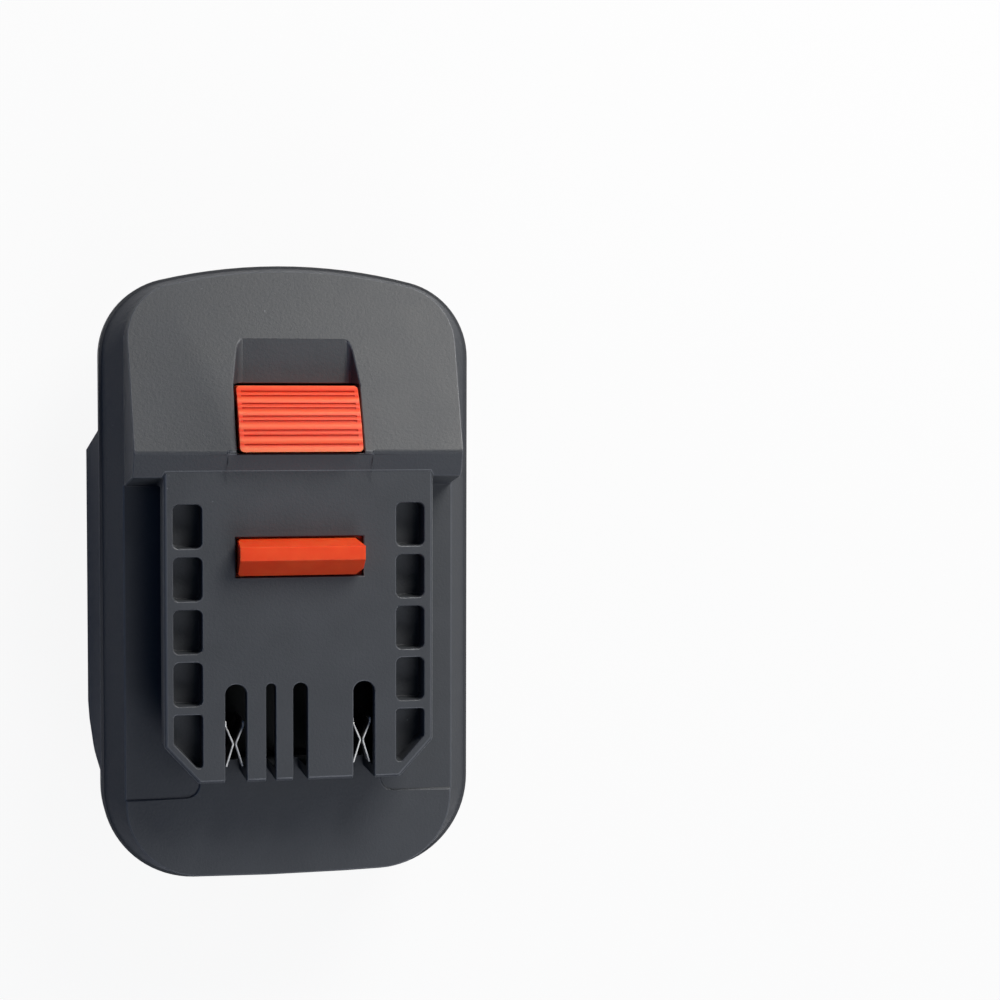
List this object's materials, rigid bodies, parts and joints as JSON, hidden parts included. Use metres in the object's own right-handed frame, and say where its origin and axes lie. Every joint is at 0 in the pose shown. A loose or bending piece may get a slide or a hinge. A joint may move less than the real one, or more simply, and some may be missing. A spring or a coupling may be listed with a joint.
{
  "type": "tool battery adapter",
  "caption": "Slide-on adapter that fits a battery pack's rails below and a cordless tool's rails above, with blade slots and a sprung release button.",
  "frame": {"origin": "centre of the footprint, on the face that rests on the battery's side", "axes": "+Z towards the tool, +Y towards the release button, +X to the right as seen from the tool's side with the button at the top"},
  "size_m": [0.075, 0.1182, 0.0484],
  "materials": {
    "housing_plastic": "moulded ABS with a fine spark-eroded grain",
    "latch_plastic": "moulded acetal, smooth",
    "spring_steel": "drawn music wire",
    "board_laminate": "near-black solder mask over glass laminate",
    "contact_metal": "tin-plated copper alloy strip",
    "carrier_plastic": "moulded nylon",
    "red_insulation": "silicone insulation",
    "black_insulation": "silicone insulation",
    "screw_steel": "black-finished steel",
    "ceramic_body": "fired ceramic",
    "moulded_epoxy": "moulded epoxy",
    "capacitor_can": "drawn aluminium can"
  },
  "bodies": {
    "housing": {"upper_housing": "housing_plastic", "lower_housing": "housing_plastic", "latch_spring_left": "spring_steel", "latch_spring_right": "spring_steel", "circuit_board": "board_laminate", "positive_contact": "contact_metal", "negative_contact": "contact_metal", "blade_carrier": "carrier_plastic", "positive_blade": "contact_metal", "negative_blade": "contact_metal", "positive_lead": "red_insulation", "negative_lead": "black_insulation", "housing_screws": "screw_steel", "board_screws": "screw_steel", "carrier_screws": "screw_steel", "fuse": "ceramic_body", "power_transistor": "moulded_epoxy", "control_chip": "moulded_epoxy", "board_capacitor": "capacitor_can", "board_resistors": "moulded_epoxy"},
    "latch": {"release_latch": "latch_plastic"}
  },
  "joints": [
    {"name": "release_press", "type": "slide", "parent": "housing", "child": "latch", "axis": [0, 0, -1], "range_m": [0, 0.0045], "stiffness_N_per_m": 1500, "springref_m": -0.003, "deforming": ["latch_spring_left", "latch_spring_right"]}
  ]
}
